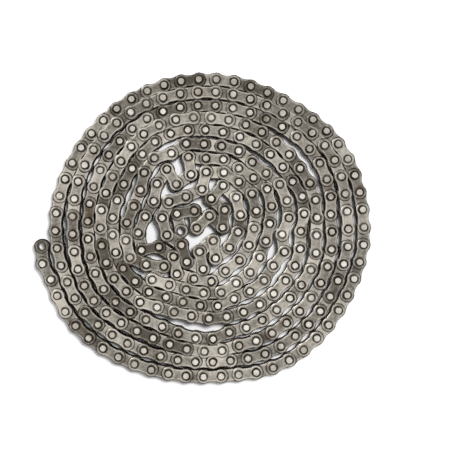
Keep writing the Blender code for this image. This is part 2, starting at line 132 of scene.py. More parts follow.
class ChainSizes(bpy.types.PropertyGroup):
    """Sizes of the chain's pieces."""

    pin_radius: FloatProperty(
        name="Pin radius", description="Radius of a pin", default=1.79 * MM, unit="LENGTH")
    pin_length: FloatProperty(
        name="Pin length", description="Length of a pin over both ends", default=11.7 * MM,
        unit="LENGTH")
    pin_flat: FloatProperty(
        name="Pin flat", description="Radius of the flat left on a staked pin end",
        default=1.45 * MM, unit="LENGTH")
    pin_edge: FloatProperty(
        name="Pin edge", description="Height of the chamfer round a pin end",
        default=0.34 * MM, unit="LENGTH")
    bushing_bore: FloatProperty(
        name="Bushing bore", description="Inside radius of a bushing", default=1.95 * MM,
        unit="LENGTH")
    plate: FloatProperty(
        name="Plate thickness", description="Thickness of all link plates",
        default=1.25 * MM, unit="LENGTH")
    plate_edge: FloatProperty(
        name="Plate edge", description="Width of the slope along a plate's outer edge",
        default=0.35 * MM, unit="LENGTH")
    plate_drop: FloatProperty(
        name="Plate drop", description="Height of the slope along a plate's outer edge",
        default=0.17 * MM, unit="LENGTH")
    inner_lobe: FloatProperty(
        name="Inner lobe", description="Radius of an inner plate round its pins",
        default=4.12 * MM, unit="LENGTH")
    inner_waist: FloatProperty(
        name="Inner waist", description="Half width of an inner plate at its middle",
        default=3.2 * MM, unit="LENGTH")
    outer_lobe: FloatProperty(
        name="Outer lobe", description="Radius of an outer plate round its pins",
        default=3.7 * MM, unit="LENGTH")
    outer_waist: FloatProperty(
        name="Outer waist", description="Half width of an outer plate at its middle",
        default=2.9 * MM, unit="LENGTH")
    rattle: FloatProperty(
        name="Rattle", description="Largest tilt of a plate between its neighbours",
        default=math.radians(0.6), unit="ROTATION")


class ChainFinish(bpy.types.PropertyGroup):
    """Colours and gloss of the oiled steel."""

    plate_light: FloatVectorProperty(
        name="Plate, light", description="Steel of the brightest plates",
        default=(0.86, 0.80, 0.70), subtype="COLOR", size=3)
    plate_dark: FloatVectorProperty(
        name="Plate, dark", description="Steel of the darkest plates",
        default=(0.13, 0.116, 0.092), subtype="COLOR", size=3)
    pin_light: FloatVectorProperty(
        name="Pin, light", description="Steel of the bright pin ends",
        default=(1.0, 0.96, 0.89), subtype="COLOR", size=3)
    pin_dark: FloatVectorProperty(
        name="Pin, dark", description="Steel of the dull pin ends",
        default=(0.50, 0.45, 0.38), subtype="COLOR", size=3)
    # The oil colour is both real oil and painted shade: it darkens the rings round pins, the
    # plates' outlines, the faces below each top face and every lower plate.
    oil: FloatVectorProperty(
        name="Oil", description="Dark oil that gathers round pins and in joints",
        default=(0.022, 0.016, 0.011), subtype="COLOR", size=3)
    stain: FloatVectorProperty(
        name="Stain", description="Brown stain that old oil leaves beside some pins",
        default=(0.13, 0.085, 0.045), subtype="COLOR", size=3)
    gloss: FloatProperty(
        name="Roughness", description="Mean roughness of the plates", default=0.34,
        min=0.05, max=1.0)


class ChainStage(bpy.types.PropertyGroup):
    """Floor, light and camera."""

    floor_colour: FloatVectorProperty(
        name="Floor", description="Colour of the plain floor", default=(0.95, 0.95, 0.95),
        subtype="COLOR", size=3)
    sky: FloatProperty(
        name="Surround", description="Brightness of the surrounding light", default=0.42,
        min=0.0)
    floor_power: FloatProperty(
        name="Floor light", description="Power of the light that keeps the floor white",
        default=13.0, min=0.0, subtype="POWER")
    overhead_power: FloatProperty(
        name="Overhead light", description="Power of the soft light over the heap",
        default=0.5, min=0.0, subtype="POWER")
    key_power: FloatProperty(
        name="Key light", description="Power of the large soft light at one side", default=3.0,
        min=0.0, subtype="POWER")
    camera_height: FloatProperty(
        name="Camera height", description="Height of the camera above the floor",
        default=0.8115, unit="LENGTH")
    lens: FloatProperty(
        name="Lens", description="Focal length in millimetres", default=118.6)
    frame_pixels: IntProperty(
        name="Frame", description="Side of the square picture in pixels", default=450)


def lift_at_pins():
    """Height of each pin's foot above the floor."""
    lift = np.zeros(PIN_COUNT)
    index = np.arange(PIN_COUNT)
    for centre, reach in CLIMBS:
        lift += np.clip((index - centre + reach) / (2 * reach), 0, 1)
    for centre, reach in DESCENTS:
        lift -= np.clip((index - centre + reach) / (2 * reach), 0, 1)
    return lift * LIFT


def rough_route():
    """One rough point for each pin, along the free end, the turns and the inner folds."""
    path = [np.array(point) for point in FREE_END]
    radii = [radius for turn in TURN_RADII for radius in turn]
    radii.append(math.hypot(*INNER_FOLDS[0]) + 2.5)
    for step in range(len(radii) - 1):
        before = radii[max(step - 1, 0)]
        after = radii[min(step + 2, len(radii) - 1)]
        for part in np.arange(0, 1, 0.1):
            start, end = radii[step], radii[step + 1]
            bow = 2 * before - 5 * start + 4 * end - after
            swing = 3 * (start - end) + after - before
            radius = start + 0.5 * part * (end - before + part * (bow + part * swing))
            angle = math.radians(FIRST_CLOCK_ANGLE + CLOCK_STEP * (step + part))
            path.append(np.array((radius * math.cos(angle), radius * math.sin(angle))))
    path.append(np.array(INNER_FOLDS[0]))
    path = np.array(path)
    along = np.concatenate(([0], np.cumsum(np.hypot(*np.diff(path, axis=0).T))))
    stops = np.linspace(0, along[-1], PIN_COUNT - len(INNER_FOLDS) + 1)
    outer = np.column_stack([np.interp(stops, along, path[:, axis]) for axis in (0, 1)])
    return np.vstack((outer[:-1], np.array(INNER_FOLDS))) * READING_SCALE


def even_pitch(pins, sweeps):
    """Brings all neighbours to one pitch, even links first and then odd ones."""
    for _ in range(sweeps):
        for first in (0, 1):
            start = pins[first:-1:2]
            end = pins[first + 1::2][:len(start)]
            span = end - start
            length = np.hypot(span[:, 0], span[:, 1])[:, None]
            shift = span * (0.5 * (length - PITCH) / length)
            pins[first:first + 2 * len(start):2] += shift
            pins[first + 1:first + 1 + 2 * len(start):2] -= shift


def strand_need(reach, other):
    """Distance that a pin keeps from a link, by how far along the link its nearest pin is."""
    beside_pin = (INNER_LOBE + other + GAP) ** 2 - reach ** 2
    beside_waist = other + INNER_WAIST + GAP
    return np.sqrt(np.maximum(beside_pin, beside_waist ** 2))


def part_strands(pins, lift, strength):
    """Pushes each pin away from the links of other strands that it is too close to."""
    start, span = pins[:-1], pins[1:] - pins[:-1]
    away = pins[:, None, :] - start[None, :, :]
    foot = np.clip((away * span[None]).sum(2) / (span ** 2).sum(1)[None], 0, 1)
    away -= foot[..., None] * span[None]
    distance = np.hypot(away[..., 0], away[..., 1])
    link_lift = 0.5 * (lift[:-1] + lift[1:])
    same_layer = np.abs(lift[:, None] - link_lift[None]) < LEVEL_SHARE * LIFT
    reach = np.minimum(foot, 1 - foot) * PITCH
    need = np.where(same_layer, strand_need(reach, INNER_LOBE), strand_need(reach, BUSHING_RADIUS))
    pin, link = np.indices(distance.shape)
    apart = (pin <= link - 2) | (pin >= link + 3)
    pin, link = np.nonzero(apart & (distance < need))
    depth = need[pin, link] - distance[pin, link]
    push = away[pin, link] / distance[pin, link][:, None] * (strength * depth)[:, None]
    part = foot[pin, link][:, None]
    np.add.at(pins, pin, push)
    np.add.at(pins, link, -push * (1 - part))
    np.add.at(pins, link + 1, -push * part)


def pin_route():
    """The place of every pin: exact pitch, clear of the other strands, close to the route."""
    target = rough_route()
    pins = target.copy()
    lift = lift_at_pins()
    for step in range(RELAX_ROUNDS):
        pins += PULL * (1 - step / RELAX_ROUNDS) * (target - pins)
        part_strands(pins, lift, RELAX_PUSH)
        even_pitch(pins, PITCH_SWEEPS)
    for _ in range(SETTLE_ROUNDS):
        part_strands(pins, lift, SETTLE_PUSH)
        even_pitch(pins, PITCH_SWEEPS)
    even_pitch(pins, LAST_SWEEPS)
    pins += np.array(PLATE_CENTRING) - (pins.min(0) + pins.max(0)) / 2
    return pins * MM, lift * MM


PINS, LIFTS = pin_route()


def start_edit():
    """Opens the new primitive for editing, with nothing selected."""
    item = bpy.context.object
    bpy.ops.object.mode_set(mode="EDIT")
    bpy.ops.mesh.select_mode(type="VERT")
    bpy.ops.mesh.select_all(action="DESELECT")
    return item


def clear_selection():
    """Leaves edit mode and deselects every object."""
    if bpy.context.mode != "OBJECT":
        bpy.ops.object.mode_set(mode="OBJECT")
    bpy.ops.object.select_all(action="DESELECT")


def pick(item, kind, test):
    """Selects the vertices, edges or faces of the edited mesh that pass a test."""
    bpy.ops.mesh.select_mode(type={"verts": "VERT", "edges": "EDGE", "faces": "FACE"}[kind])
    bpy.ops.mesh.select_all(action="DESELECT")
    edited = bmesh.from_edit_mesh(item.data)
    found = 0
    for element in getattr(edited, kind):
        if test(element):
            element.select_set(True)
            found += 1
    bmesh.update_edit_mesh(item.data)
    if not found:
        raise RuntimeError(f"nothing to select on {item.name}")


def at_level(vertex, height):
    """Whether a vertex lies at one height."""
    return abs(vertex.co.z - height) < 0.01 * MM


def model_plate(name, lobe, waist, sizes):
    """A link plate with its foot at z = 0, one pin at the origin and the other along +X."""
    pitch = PITCH * MM
    thickness = sizes.plate
    clear_selection()
    bpy.ops.mesh.primitive_circle_add(vertices=16, radius=lobe, fill_type="NOTHING")
    item = start_edit()
    item.name = name
    end_height = lobe * math.sin(math.radians(67.5))
    pick(item, "verts", lambda vertex: vertex.co.x > 0.5 * lobe)
    bpy.ops.mesh.delete(type="VERT")
    bpy.ops.mesh.select_all(action="SELECT")
    bpy.ops.mesh.duplicate()
    bpy.ops.transform.rotate(value=math.pi, orient_axis="Z", center_override=(pitch / 2, 0, 0))
    for side in (1, -1):
        pick(item, "verts", lambda vertex: abs(side * vertex.co.y - end_height) < 0.02 * MM
             and lobe * 0.3 < vertex.co.x < pitch - lobe * 0.3)
        bpy.ops.mesh.edge_face_add()
        bpy.ops.mesh.subdivide(number_cuts=3)
    reach = pitch / 2 - lobe * math.cos(math.radians(67.5))
    for spot, drop in ((0.0, 1.0), (0.5, 0.72)):
        near = spot * reach - 0.05 * MM, spot * reach + 0.05 * MM
        pick(item, "verts",
             lambda vertex: near[0] < abs(vertex.co.x - pitch / 2) < near[1]
             and abs(vertex.co.y) < end_height + 0.02 * MM)
        share = 1 - drop * (1 - waist / end_height)
        bpy.ops.transform.resize(value=(1, share, 1), center_override=(0, 0, 0))
    bpy.ops.mesh.select_all(action="SELECT")
    bpy.ops.mesh.edge_face_add()
    bpy.ops.mesh.extrude_region_move(TRANSFORM_OT_translate={"value": (0, 0, thickness)})
    pick(item, "faces", lambda face: all(at_level(vertex, thickness) for vertex in face.verts))
    bpy.ops.mesh.inset(thickness=sizes.plate_edge, depth=0)
    pick(item, "verts", lambda vertex: at_level(vertex, thickness)
         and any(not at_level(edge.other_vert(vertex), thickness) for edge in vertex.link_edges))
    bpy.ops.transform.translate(value=(0, 0, -sizes.plate_drop))
    bpy.ops.mesh.select_all(action="SELECT")
    bpy.ops.mesh.normals_make_consistent(inside=False)
    clear_selection()
    return item


def drill_plate(item, radius, thickness):
    """Cuts both pin holes through a plate."""
    for place in (0, PITCH * MM):
        clear_selection()
        bpy.ops.mesh.primitive_cylinder_add(
            vertices=24, radius=radius, depth=4 * thickness, location=(place, 0, 0))
        drill = bpy.context.object
        cut = item.modifiers.new("hole", "BOOLEAN")
        cut.operation = "DIFFERENCE"
        cut.solver = "EXACT"
        cut.object = drill
        bpy.context.view_layer.objects.active = item
        bpy.ops.object.modifier_apply(modifier=cut.name)
        bpy.data.objects.remove(drill)


def model_pin(sizes):
    """A pin with staked ends: a chamfer round a flat that the staking leaves a little square."""
    clear_selection()
    bpy.ops.mesh.primitive_cylinder_add(
        vertices=12, radius=sizes.pin_radius, depth=sizes.pin_length,
        location=(0, 0, sizes.pin_length / 2))
    item = start_edit()
    item.name = "pin_pattern"
    half = sizes.pin_length / 2
    for end in (half, -half):
        pick(item, "faces", lambda face: abs(face.calc_center_median().z - end) < 0.01 * MM)
        bpy.ops.mesh.inset(thickness=sizes.pin_radius - sizes.pin_flat, depth=0)
        pick(item, "verts", lambda vertex: abs(vertex.co.z - end) < 0.01 * MM
             and vertex.co.xy.length > sizes.pin_radius - 0.05 * MM)
        drop = -math.copysign(sizes.pin_edge, end)
        bpy.ops.transform.translate(value=(0, 0, drop))
        pick(item, "verts", lambda vertex: abs(vertex.co.z - end) < 0.01 * MM
             and abs(abs(vertex.co.x) - abs(vertex.co.y)) < 0.6 * MM)
        centre = (0, 0, sizes.pin_length / 2 + end)
        bpy.ops.transform.resize(value=(1.07, 1.07, 1), center_override=centre)
    bpy.ops.mesh.select_all(action="SELECT")
    bpy.ops.mesh.normals_make_consistent(inside=False)
    clear_selection()
    bpy.ops.object.select_all(action="DESELECT")
    item.select_set(True)
    bpy.context.view_layer.objects.active = item
    bpy.ops.object.transform_apply(location=True, rotation=True, scale=True)
    return item


def model_bushing(sizes, foot, top, open_bore):
    """A bushing between two heights, closed off where a pin fills it, or with its bore."""
    clear_selection()
    bpy.ops.mesh.primitive_cylinder_add(
        vertices=24 if open_bore else 12, radius=BUSHING_RADIUS * MM, depth=top - foot,
        location=(0, 0, (top + foot) / 2))
    item = start_edit()
    item.name = "bushing_pattern"
    half = (top - foot) / 2
    if open_bore:
        pick(item, "faces", lambda face: abs(abs(face.calc_center_median().z) - half) < 0.01 * MM)
        bpy.ops.mesh.inset(thickness=BUSHING_RADIUS * MM - sizes.bushing_bore, depth=0)
        pick(item, "faces", lambda face: len(face.verts) > 4)
        bpy.ops.mesh.delete(type="FACE")
        pick(item, "edges", lambda edge: edge.is_boundary)
        bpy.ops.mesh.bridge_edge_loops()
        bpy.ops.mesh.select_all(action="SELECT")
        bpy.ops.mesh.normals_make_consistent(inside=False)
    clear_selection()
    item.select_set(True)
    bpy.context.view_layer.objects.active = item
    bpy.ops.object.transform_apply(location=True, rotation=True, scale=True)
    return item


def take_shape(item):
    """The corners, faces and face sizes of a modelled pattern, which is then removed."""
    mesh = item.data
    corners = np.empty(3 * len(mesh.vertices))
    mesh.vertices.foreach_get("co", corners)
    faces = [tuple(face.vertices) for face in mesh.polygons]
    bpy.data.objects.remove(item)
    bpy.data.meshes.remove(mesh)
    return corners.reshape(-1, 3), faces


def join_copies(name, copies, material, sharp_angle):
    """One joined mesh of placed copies: each is (corners, faces, map points, tone, shade)."""
    points, faces, maps, tones = [], [], [], []
    for corners, shape_faces, map_points, tone, shade in copies:
        base = len(points)
        points.extend(corners.tolist())
        maps.extend(map_points.tolist())
        tones.extend((*tone, dark, 1.0) for dark in shade)
        faces.extend(tuple(base + corner for corner in face) for face in shape_faces)
    mesh = bpy.data.meshes.new(name)
    mesh.from_pydata(points, [], faces)
    layer = mesh.uv_layers.new(name=LINK_MAP)
    order = np.empty(len(mesh.loops), dtype=np.int32)
    mesh.loops.foreach_get("vertex_index", order)
    layer.data.foreach_set("uv", np.array(maps)[order].ravel())
    shade = mesh.color_attributes.new(LINK_TONE, "FLOAT_COLOR", "POINT")
    shade.data.foreach_set("color", np.array(tones, dtype=float).ravel())
    mesh.materials.append(material)
    item = bpy.data.objects.new(name, mesh)
    bpy.context.scene.collection.objects.link(item)
    clear_selection()
    item.select_set(True)
    bpy.context.view_layer.objects.active = item
    bpy.ops.object.shade_smooth_by_angle(angle=sharp_angle)
    return item


def link_tone(chance):
    """How bright and how oily one piece is."""
    bright = min(max(0.5 + 0.26 * chance.gauss(0, 1), 0.0), 1.0)
    oily = chance.random() ** 2
    return bright, oily


def painted_edge_shade(corners, top):
    """1 at the corners below a piece's top face, darkened there by the oil colour as painted shade
    and partly oil; 0 on the top.
    """
    return (corners[:, 2] < top - 0.02 * MM).astype(float)


def place_plate(shape, link, foot, upper, tilt, tone):
    """A copy of a plate on one link, the right way up or turned over."""
    corners, faces = shape
    local = corners.copy()
    if not upper:
        local[:, 1:] *= -1
    start, end = PINS[link], PINS[link + 1]
    along = (end - start) / np.hypot(*(end - start))
    across = np.array((-along[1], along[0]))
    placed = np.empty_like(local)
    placed[:, :2] = start + local[:, :1] * along + local[:, 1:2] * across
    share = local[:, 0] / (PITCH * MM)
    rise = LIFTS[link] + share * (LIFTS[link + 1] - LIFTS[link])
    rock = tilt[0] * (local[:, 0] - PITCH * MM / 2) + tilt[1] * local[:, 1]
    placed[:, 2] = foot + local[:, 2] + rise + rock
    # Lower plates are darkened all over with the oil colour, painted shade for the shadow they lie
    # in; upper plates only below their top face.
    shade = painted_edge_shade(corners, corners[:, 2].max()) if upper else np.ones(len(corners))
    return placed, faces, corners[:, :2] / (PITCH * MM), tone, shade


def place_round(shape, pin, turn, tone):
    """A copy of a pin or bushing at one pin place, turned by an angle."""
    corners, faces = shape
    cosine, sine = math.cos(turn), math.sin(turn)
    placed = corners.copy()
    placed[:, 0] = corners[:, 0] * cosine - corners[:, 1] * sine + PINS[pin][0]
    placed[:, 1] = corners[:, 0] * sine + corners[:, 1] * cosine + PINS[pin][1]
    placed[:, 2] += LIFTS[pin]
    # Pins and bushings get painted shade, partly oil, on the faces below their top.
    shade = painted_edge_shade(corners, corners[:, 2].max())
    return placed, faces, corners[:, :2] / (PITCH * MM), tone, shade


def run_spans():
    """First and last pin of every run of the coil."""
    firsts = [FIRST_RUN_PIN] + [pin + 1 for pin in RUN_JOINTS]
    return list(zip(firsts, list(RUN_JOINTS) + [PIN_COUNT - 1]))


def inner_groups():
    """Name, body, replaced nodes and inner links of each group of inner links."""
    groups = [(name, body, name, [link]) for name, (link, body) in LOOSE_LINKS.items()
              if link % 2 == 0]
    for number, (first, last) in enumerate(run_spans(), 1):
        node = f"coil_run_{number:02d}"
        groups.append((node, COIL_BODY, node, list(range(first, last, 2))))
    return groups


def outer_groups():
    """Name, body, replaced nodes and outer links of each group of outer links."""
    groups = [(name, body, name, [link]) for name, (link, body) in LOOSE_LINKS.items()
              if link % 2]
    for number, (first, last) in enumerate(run_spans(), 1):
        node = f"coil_run_{number:02d}"
        links = list(range(first + 1, last + 1, 2))
        groups.append((node, COIL_BODY, node, [link for link in links if link < LAST_LINK]))
    return groups


def replaced_nodes(name, kinds):
    """The solids that a group's piece stands for."""
    if not name.startswith("coil_run"):
        return [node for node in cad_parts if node.startswith(name + "_")
                and any(kind in node for kind in kinds)]
    nodes = [name]
    joining = f"joining_link_{int(name[-2:])}"
    if "pin" in kinds or "outer" in kinds:
        nodes += [joining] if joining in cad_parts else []
    return nodes


def hand_over(item, body, nodes):
    """Lets a piece ride on its body and stand for its solids."""
    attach(item, body)
    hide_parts(*nodes)


def tilt_of(chance, sizes):
    """A small tilt of one plate, along and across the link."""
    return chance.uniform(-1, 1) * sizes.rattle, chance.uniform(-1, 1) * sizes.rattle


class CHAIN_OT_inner_plates(bpy.types.Operator):
    """Models the inner plate and lays the inner plates of all links"""

    bl_idname = "chain.inner_plates"
    bl_label = "Inner plates"

    def execute(self, context):
        sizes = context.scene.chain_sizes
        finish = context.scene.chain_finish
        material = plate_material("inner_plate_steel", finish, OUTER_RIM_OIL_SHADE_RING,
                                  (sizes.inner_lobe, sizes.inner_waist))
        args = sizes.inner_lobe, sizes.inner_waist, sizes
        closed = take_shape(model_plate("inner_plate_pattern", *args))
        holed = model_plate("drilled_plate_pattern", *args)
        drill_plate(holed, (BUSHING_RADIUS + 0.02) * MM, sizes.plate)
        holed = take_shape(holed)
        chance = random.Random(TONE_SEED)
        for name, body, _, links in inner_groups():
            copies = []
            for link in links:
                shape = holed if link in (0, 2, LAST_LINK) else closed
                tone = link_tone(chance)
                for upper, foot in ((True, UPPER_INNER_FOOT), (False, LOWER_INNER_TOP)):
                    tilt = tilt_of(chance, sizes)
                    copies.append(place_plate(shape, link, foot, upper, tilt, tone))
            item = join_copies(name + "_inner_plates", copies, material, PLATE_SHARP)
            hand_over(item, body, replaced_nodes(name, ("plate",)))
        return {"FINISHED"}


class CHAIN_OT_outer_plates(bpy.types.Operator):
    """Models the outer plate and lays the outer plates of all links"""

    bl_idname = "chain.outer_plates"
    bl_label = "Outer plates"

    def execute(self, context):
        sizes = context.scene.chain_sizes
        finish = context.scene.chain_finish
        material = plate_material("outer_plate_steel", finish, PIN_OIL_SHADE_RING,
                                  (sizes.outer_lobe, sizes.outer_waist))
        shape = take_shape(model_plate("outer_plate_pattern", sizes.outer_lobe,
                                       sizes.outer_waist, sizes))
        chance = random.Random(TONE_SEED + 1)
        for name, body, _, links in outer_groups():
            copies = []
            for link in links:
                tone = link_tone(chance)
                for upper, foot in ((True, UPPER_OUTER_FOOT), (False, LOWER_OUTER_TOP)):
                    tilt = tilt_of(chance, sizes)
                    copies.append(place_plate(shape, link, foot, upper, tilt, tone))
            item = join_copies(name + "_outer_plates", copies, material, PLATE_SHARP)
            hand_over(item, body, replaced_nodes(name, ("plate", "outer")))
        return {"FINISHED"}


class CHAIN_OT_pins(bpy.types.Operator):
    """Models the pin and sets two pins in every outer link"""

    bl_idname = "chain.pins"
    bl_label = "Pins"

    def execute(self, context):
        sizes = context.scene.chain_sizes
        material = pin_material(context.scene.chain_finish)
        shape = take_shape(model_pin(sizes))
        chance = random.Random(TONE_SEED + 2)
        for name, body, _, links in outer_groups():
            copies = []
            for link in links:
                for pin in (link, link + 1):
                    turn = chance.uniform(0, math.pi)
                    copies.append(place_round(shape, pin, turn, link_tone(chance)))
            item = join_copies(name + "_pins", copies, material, math.radians(30))
            hand_over(item, body, replaced_nodes(name, ("pin",)))
        return {"FINISHED"}


class CHAIN_OT_bushings(bpy.types.Operator):
    """Models the bushing and presses two bushings into every inner link"""

    bl_idname = "chain.bushings"
    bl_label = "Bushings"

    def execute(self, context):
        sizes = context.scene.chain_sizes
        material = bushing_material(context.scene.chain_finish)
        plain = take_shape(model_bushing(sizes, LOWER_INNER_TOP - 0.2 * MM,
                                         UPPER_INNER_FOOT + 0.2 * MM, False))
        bored = take_shape(model_bushing(sizes, LOWER_INNER_TOP - sizes.plate,
                                         UPPER_INNER_FOOT + sizes.plate, True))
        chance = random.Random(TONE_SEED + 3)
        for name, body, _, links in inner_groups():
            copies = []
            for link in links:
                shape = bored if link in (0, 2, LAST_LINK) else plain
                for pin in (link, link + 1):
                    turn = chance.uniform(0, math.pi)
                    copies.append(place_round(shape, pin, turn, link_tone(chance)))
            item = join_copies(name + "_bushings", copies, material, math.radians(40))
            hand_over(item, body, replaced_nodes(name, ("bushing",)))
        return {"FINISHED"}


# Distance in pitches from a pin's middle, and width, of the dark ring where a part meets a plate,
# partly oil and
# partly painted shade: the outer plates' ring lies round the pin, the inner plates' ring round the
# outer rim
PIN_OIL_SHADE_RING = (1.98 / PITCH, 0.85 / PITCH)
OUTER_RIM_OIL_SHADE_RING = (3.7 / PITCH, 0.45 / PITCH)

# Distances from a plate's edge, in millimetres, over which its dark line, partly oil and partly
# painted shade, and the bright band inside it, partly wear and partly a painted highlight, fade
# away
OIL_SHADE_RIM = (0.02, 0.14)
WORN_HIGHLIGHT_RIM = (0.5, 1.0)


def node_group(name, inputs, outputs):
    """A new shader node group with the given sockets."""
    group = bpy.data.node_groups.new(name, "ShaderNodeTree")
    for socket, kind, value in inputs:
        made = group.interface.new_socket(name=socket, in_out="INPUT", socket_type=kind)
        made.default_value = value
    for socket, kind in outputs:
        group.interface.new_socket(name=socket, in_out="OUTPUT", socket_type=kind)
    return group, group.nodes.new("NodeGroupInput"), group.nodes.new("NodeGroupOutput")


def add_math(tree, operation, first, second=0.0, third=0.0, clamp=False):
    """A math node on sockets or numbers; gives its output."""
    node = tree.nodes.new("ShaderNodeMath")
    node.operation = operation
    node.use_clamp = clamp
    for index, value in enumerate((first, second, third)):
        if isinstance(value, (int, float)):
            node.inputs[index].default_value = value
        else:
            tree.links.new(value, node.inputs[index])
    return node.outputs[0]


def add_noise(tree, scale, detail, roughness=0.5):
    """Noise on Object coordinates; scale is in repeats for each metre."""
    place = tree.nodes.new("ShaderNodeTexCoord")
    node = tree.nodes.new("ShaderNodeTexNoise")
    node.inputs["Scale"].default_value = scale
    node.inputs["Detail"].default_value = detail
    node.inputs["Roughness"].default_value = roughness
    tree.links.new(place.outputs["Object"], node.inputs["Vector"])
    return node.outputs["Fac"]


def add_range(tree, value, low, high, to_low=0.0, to_high=1.0):
    """Maps a value smoothly from one range to another."""
    node = tree.nodes.new("ShaderNodeMapRange")
    node.interpolation_type = "SMOOTHSTEP"
    for name, number in (("From Min", low), ("From Max", high),
                         ("To Min", to_low), ("To Max", to_high)):
        node.inputs[name].default_value = number
    tree.links.new(value, node.inputs["Value"])
    return node.outputs["Result"]


def add_mix(tree, factor, first, second):
    """Mixes two colours given as sockets or tuples."""
    node = tree.nodes.new("ShaderNodeMix")
    node.data_type = "RGBA"
    sockets = [socket for socket in node.inputs if socket.type == "RGBA"]
    for socket, value in zip(sockets, (first, second)):
        if isinstance(value, tuple):
            socket.default_value = value
        else:
            tree.links.new(value, socket)
    tree.links.new(factor, node.inputs[0])
    return next(socket for socket in node.outputs if socket.type == "RGBA")


def marks_group():
    """Shader group: an uneven ring round each pin, and the distance to the plate's edge."""
    name = "marks_on_plate"
    if name in bpy.data.node_groups:
        return bpy.data.node_groups[name]
    number = "NodeSocketFloat"
    group, given, result = node_group(
        name, (("Radius", number, 0.2), ("Width", number, 0.05), ("Lobe", number, 0.4),
               ("Waist", number, 0.3)),
        (("Ring", number), ("Edge", number)))
    place = group.nodes.new("ShaderNodeUVMap")
    place.uv_map = LINK_MAP
    near = []
    for spot in ((0, 0, 0), (1, 0, 0)):
        gap = group.nodes.new("ShaderNodeVectorMath")
        gap.operation = "DISTANCE"
        gap.inputs[1].default_value = spot
        group.links.new(place.outputs["UV"], gap.inputs[0])
        near.append(gap.outputs["Value"])
    distance = add_math(group, "MINIMUM", *near)
    uneven = add_math(group, "SUBTRACT", add_noise(group, 330.0, 1.0), 0.5)
    uneven = add_math(group, "MULTIPLY_ADD", uneven, 0.12, distance)
    off = add_math(group, "SUBTRACT", uneven, given.outputs["Radius"])
    ratio = add_math(group, "DIVIDE", add_math(group, "ABSOLUTE", off), given.outputs["Width"])
    group.links.new(add_range(group, ratio, 0.3, 1.0, 1.0, 0.0), result.inputs["Ring"])
    parts = group.nodes.new("ShaderNodeSeparateXYZ")
    group.links.new(place.outputs["UV"], parts.inputs["Vector"])
    across = add_math(group, "ABSOLUTE", parts.outputs["Y"])
    from_lobe = add_math(group, "SUBTRACT", given.outputs["Lobe"], distance)
    from_waist = add_math(group, "SUBTRACT", given.outputs["Waist"], across)
    group.links.new(add_math(group, "MAXIMUM", from_lobe, from_waist), result.inputs["Edge"])
    return group


def steel_group():
    """Shader group: oiled steel that differs from link to link, with smudges and fine grain, a
    dark film of painted shade and oil, and a bright band of wear and painted highlight.
    """
    name = "oiled_steel_surface"
    if name in bpy.data.node_groups:
        return bpy.data.node_groups[name]
    colour, number = "NodeSocketColor", "NodeSocketFloat"
    group, given, result = node_group(
        name,
        (("Light", colour, (0.4, 0.4, 0.4, 1)), ("Dark", colour, (0.2, 0.2, 0.2, 1)),
         ("Oil", colour, (0.05, 0.04, 0.03, 1)), ("Stain", colour, (0.1, 0.07, 0.04, 1)),
         ("Oil Mask", number, 0.0), ("Worn Mask", number, 0.0), ("Roughness", number, 0.35)),
        (("Color", colour), ("Roughness", number), ("Normal", "NodeSocketVector")))
    layer = group.nodes.new("ShaderNodeAttribute")
    layer.attribute_name = LINK_TONE
    parts = group.nodes.new("ShaderNodeSeparateColor")
    group.links.new(layer.outputs["Color"], parts.inputs["Color"])
    broad = add_noise(group, 26.0, 1.0)
    smudge = add_noise(group, 260.0, 3.0, 0.6)
    grain = add_noise(group, 900.0, 4.0, 0.75)
    tone = add_math(group, "MULTIPLY_ADD", parts.outputs["Red"], 0.6, 0.15)
    tone = add_math(group, "MULTIPLY_ADD", broad, 0.8, tone)
    tone = add_math(group, "MULTIPLY_ADD", smudge, 0.8, tone)
    tone = add_math(group, "MULTIPLY_ADD", grain, 0.9, tone)
    # The worn band lightens the steel along the plate's edge: partly wear, partly a painted
    # highlight.
    tone = add_math(group, "MULTIPLY_ADD", given.outputs["Worn Mask"], 0.3, tone)
    tone = add_range(group, tone, 1.25, 2.35)
    steel = add_mix(group, tone, given.outputs["Dark"], given.outputs["Light"])
    patch = add_range(group, add_noise(group, 150.0, 4.0, 0.6), 0.50, 0.70)
    patch = add_math(group, "MULTIPLY", patch, parts.outputs["Green"])
    steel = add_mix(group, add_math(group, "MULTIPLY", patch, 0.75), steel,
                    given.outputs["Stain"])
    # The oil film below each top face and over the lower plates is painted shade, partly also oil.
    oil_and_shade_film = add_range(group, parts.outputs["Blue"], 0.5, 1.0, 0.0, 0.95)
    oil_and_shade_film = add_math(group, "MAXIMUM", oil_and_shade_film, given.outputs["Oil Mask"], clamp=True)
    group.links.new(add_mix(group, oil_and_shade_film, steel, given.outputs["Oil"]), result.inputs["Color"])
    rough = add_math(group, "MULTIPLY_ADD", grain, 0.16, given.outputs["Roughness"])
    rough = add_math(group, "MULTIPLY_ADD", smudge, -0.14, rough)
    rough = add_math(group, "MULTIPLY_ADD", oil_and_shade_film, -0.05, rough, clamp=True)
    group.links.new(rough, result.inputs["Roughness"])
    bump = group.nodes.new("ShaderNodeBump")
    bump.inputs["Strength"].default_value = 0.35
    bump.inputs["Distance"].default_value = 0.00006
    group.links.new(add_math(group, "MULTIPLY_ADD", smudge, 0.6, grain), bump.inputs["Height"])
    group.links.new(bump.outputs["Normal"], result.inputs["Normal"])
    return group


